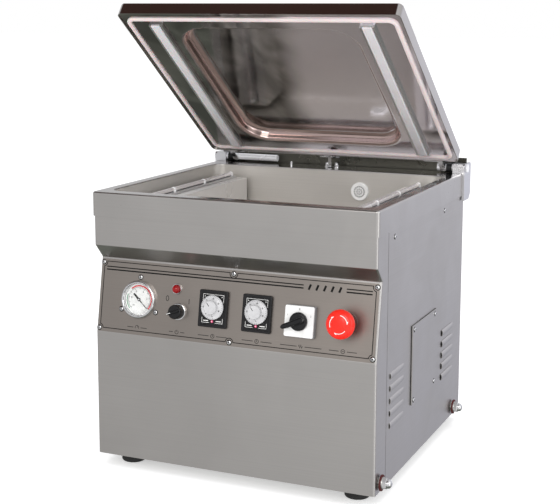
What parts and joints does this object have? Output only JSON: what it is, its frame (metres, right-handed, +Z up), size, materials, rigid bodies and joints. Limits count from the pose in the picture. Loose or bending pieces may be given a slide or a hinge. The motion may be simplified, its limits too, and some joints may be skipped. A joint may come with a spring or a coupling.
{
  "type": "vacuum packing machine",
  "caption": "Table-top chamber vacuum packing machine in stainless steel, with an open hinged lid, seal bars, a chamber and a sloping control panel.",
  "frame": {"origin": "centre of the bounding box in plan, on the surface that the feet stand on, with the lid open as stored", "axes": "+Z up; the control panel faces -Y; +X is to the right of someone who faces the panel"},
  "size_m": [0.5174, 0.5172, 0.7468],
  "materials": {
    "casing_steel": "satin stainless sheet",
    "side_steel": "satin stainless sheet",
    "chamber_steel": "satin stainless, drawn tub",
    "mirror_steel": "mirror-polished stainless",
    "plate_steel": "printed satin control plate",
    "chrome": "polished plating",
    "aluminium": "extruded, natural",
    "black_plastic": "moulded",
    "white_plastic": "moulded",
    "red_plastic": "moulded, glossy",
    "dial_grey": "silver-grey moulded",
    "lens_red": "tinted lens",
    "clear_glass": "flat glass",
    "dial_white": "printed dial",
    "black_metal": "matt black",
    "rubber": "moulded",
    "silicone": "soft, pinkish white",
    "silicone_grey": "soft pressing strip",
    "fibre_red": "vulcanised fibre",
    "heater": "heater rod under release tape",
    "pump_paint": "painted casting",
    "motor_paint": "painted casting",
    "rotor_steel": "machined",
    "hose": "reinforced hose",
    "coil": "varnished laminations",
    "brass": "machined",
    "washer_steel": "zinc plated"
  },
  "bodies": {
    "base": {"front_casing": "casing_steel", "deck_frame": "casing_steel", "chamber_tub": "chamber_steel", "rear_panel": "side_steel", "left_panel": "side_steel", "right_panel": "side_steel", "access_cover": "side_steel", "cover_seal": "rubber", "base_plate": "side_steel", "feet": "rubber", "control_plate": "plate_steel", "casing_screws": "chrome", "gauge_case": "chrome", "gauge_dial": "dial_white", "gauge_glass": "clear_glass", "pilot_bezel": "chrome", "pilot_lens": "lens_red", "power_switch": "chrome", "vacuum_timer": "black_plastic", "sealing_timer": "black_plastic", "selector_switch": "white_plastic", "estop_collar": "black_plastic", "left_bar_housing": "chamber_steel", "right_bar_housing": "chamber_steel", "bar_cylinders": "aluminium", "vacuum_strainer": "white_plastic", "lid_switch": "black_plastic", "hinge_brackets": "side_steel", "rear_guard": "mirror_steel", "dome_nut_bolts": "chrome", "side_washers": "fibre_red", "cable_gland": "black_plastic", "vacuum_pump": "pump_paint", "pump_motor": "motor_paint", "pump_mounts": "rubber", "vacuum_hose": "hose", "transformer": "coil", "valve_block": "brass"},
    "lid": {"lid_shell": "mirror_steel", "lid_liner": "mirror_steel", "lid_gasket": "silicone", "strip_holders": "aluminium", "silicone_strips": "silicone_grey", "hinge_shafts": "chrome", "shaft_collars": "black_plastic", "lid_arms": "chrome", "spring_lever": "chrome"},
    "gauge_needle": {"gauge_needle": "black_metal"},
    "power_knob": {"power_knob": "black_plastic"},
    "vacuum_timer_dial": {"vacuum_timer_dial": "dial_grey"},
    "sealing_timer_dial": {"sealing_timer_dial": "dial_grey"},
    "selector_handle": {"selector_handle": "black_plastic"},
    "estop_plunger": {"estop_plunger": "chrome"},
    "estop_cap": {"estop_cap": "red_plastic"},
    "left_seal_bar": {"left_seal_bar": "aluminium", "left_heater": "heater"},
    "right_seal_bar": {"right_seal_bar": "aluminium", "right_heater": "heater"},
    "switch_plunger": {"switch_plunger": "washer_steel"},
    "motor_rotor": {"motor_rotor": "rotor_steel"}
  },
  "joints": [
    {"name": "lid_hinge", "type": "hinge", "parent": "base", "child": "lid", "pos_m": [0, 0.2276, 0.46], "axis": [1, 0, 0], "range_deg": [0, 36.4], "stiffness_Nm_per_rad": 6, "springref_deg": -154.7},
    {"name": "left_bar_lift", "type": "slide", "parent": "base", "child": "left_seal_bar", "axis": [0, 0, 1], "range_m": [0, 0.008]},
    {"name": "right_bar_lift", "type": "slide", "parent": "base", "child": "right_seal_bar", "axis": [0, 0, 1], "range_m": [0, 0.008]},
    {"name": "gauge_pointer", "type": "hinge", "parent": "base", "child": "gauge_needle", "pos_m": [-0.163, -0.21931, 0.28046], "axis": [0, -0.9847, 0.1745], "range_deg": [-3, 267], "stiffness_Nm_per_rad": 0.0002},
    {"name": "power_turn", "type": "hinge", "parent": "base", "child": "power_knob", "pos_m": [-0.092, -0.22149, 0.26815], "axis": [0, -0.9847, 0.1745], "range_deg": [-90, 0]},
    {"name": "vacuum_time_turn", "type": "hinge", "parent": "base", "child": "vacuum_timer_dial", "pos_m": [-0.0305, -0.21925, 0.28075], "axis": [0, -0.9847, 0.1745], "range_deg": [-300, 0]},
    {"name": "sealing_time_turn", "type": "hinge", "parent": "base", "child": "sealing_timer_dial", "pos_m": [0.0435, -0.21925, 0.28075], "axis": [0, -0.9847, 0.1745], "range_deg": [-300, 0]},
    {"name": "selector_turn", "type": "hinge", "parent": "base", "child": "selector_handle", "pos_m": [0.116, -0.22044, 0.27406], "axis": [0, -0.9847, 0.1745], "range_deg": [-150, 30]},
    {"name": "estop_press", "type": "slide", "parent": "base", "child": "estop_plunger", "axis": [0, -0.9847, 0.1745], "range_m": [-0.005, 0], "stiffness_N_per_m": 600, "springref_m": 0.003},
    {"name": "estop_twist", "type": "hinge", "parent": "estop_plunger", "child": "estop_cap", "pos_m": [0.188, -0.21974, 0.278], "axis": [0, -0.9847, 0.1745], "range_deg": [-30, 0], "stiffness_Nm_per_rad": 0.02, "springref_deg": 5.73},
    {"name": "lid_switch_press", "type": "slide", "parent": "base", "child": "switch_plunger", "axis": [0, 0, -1], "range_m": [0, 0.003], "stiffness_N_per_m": 150, "springref_m": -0.003},
    {"name": "rotor_spin", "type": "hinge", "parent": "base", "child": "motor_rotor", "pos_m": [0.04, 0.1006, 0.1115], "axis": [1, 0, 0], "continuous": true}
  ]
}
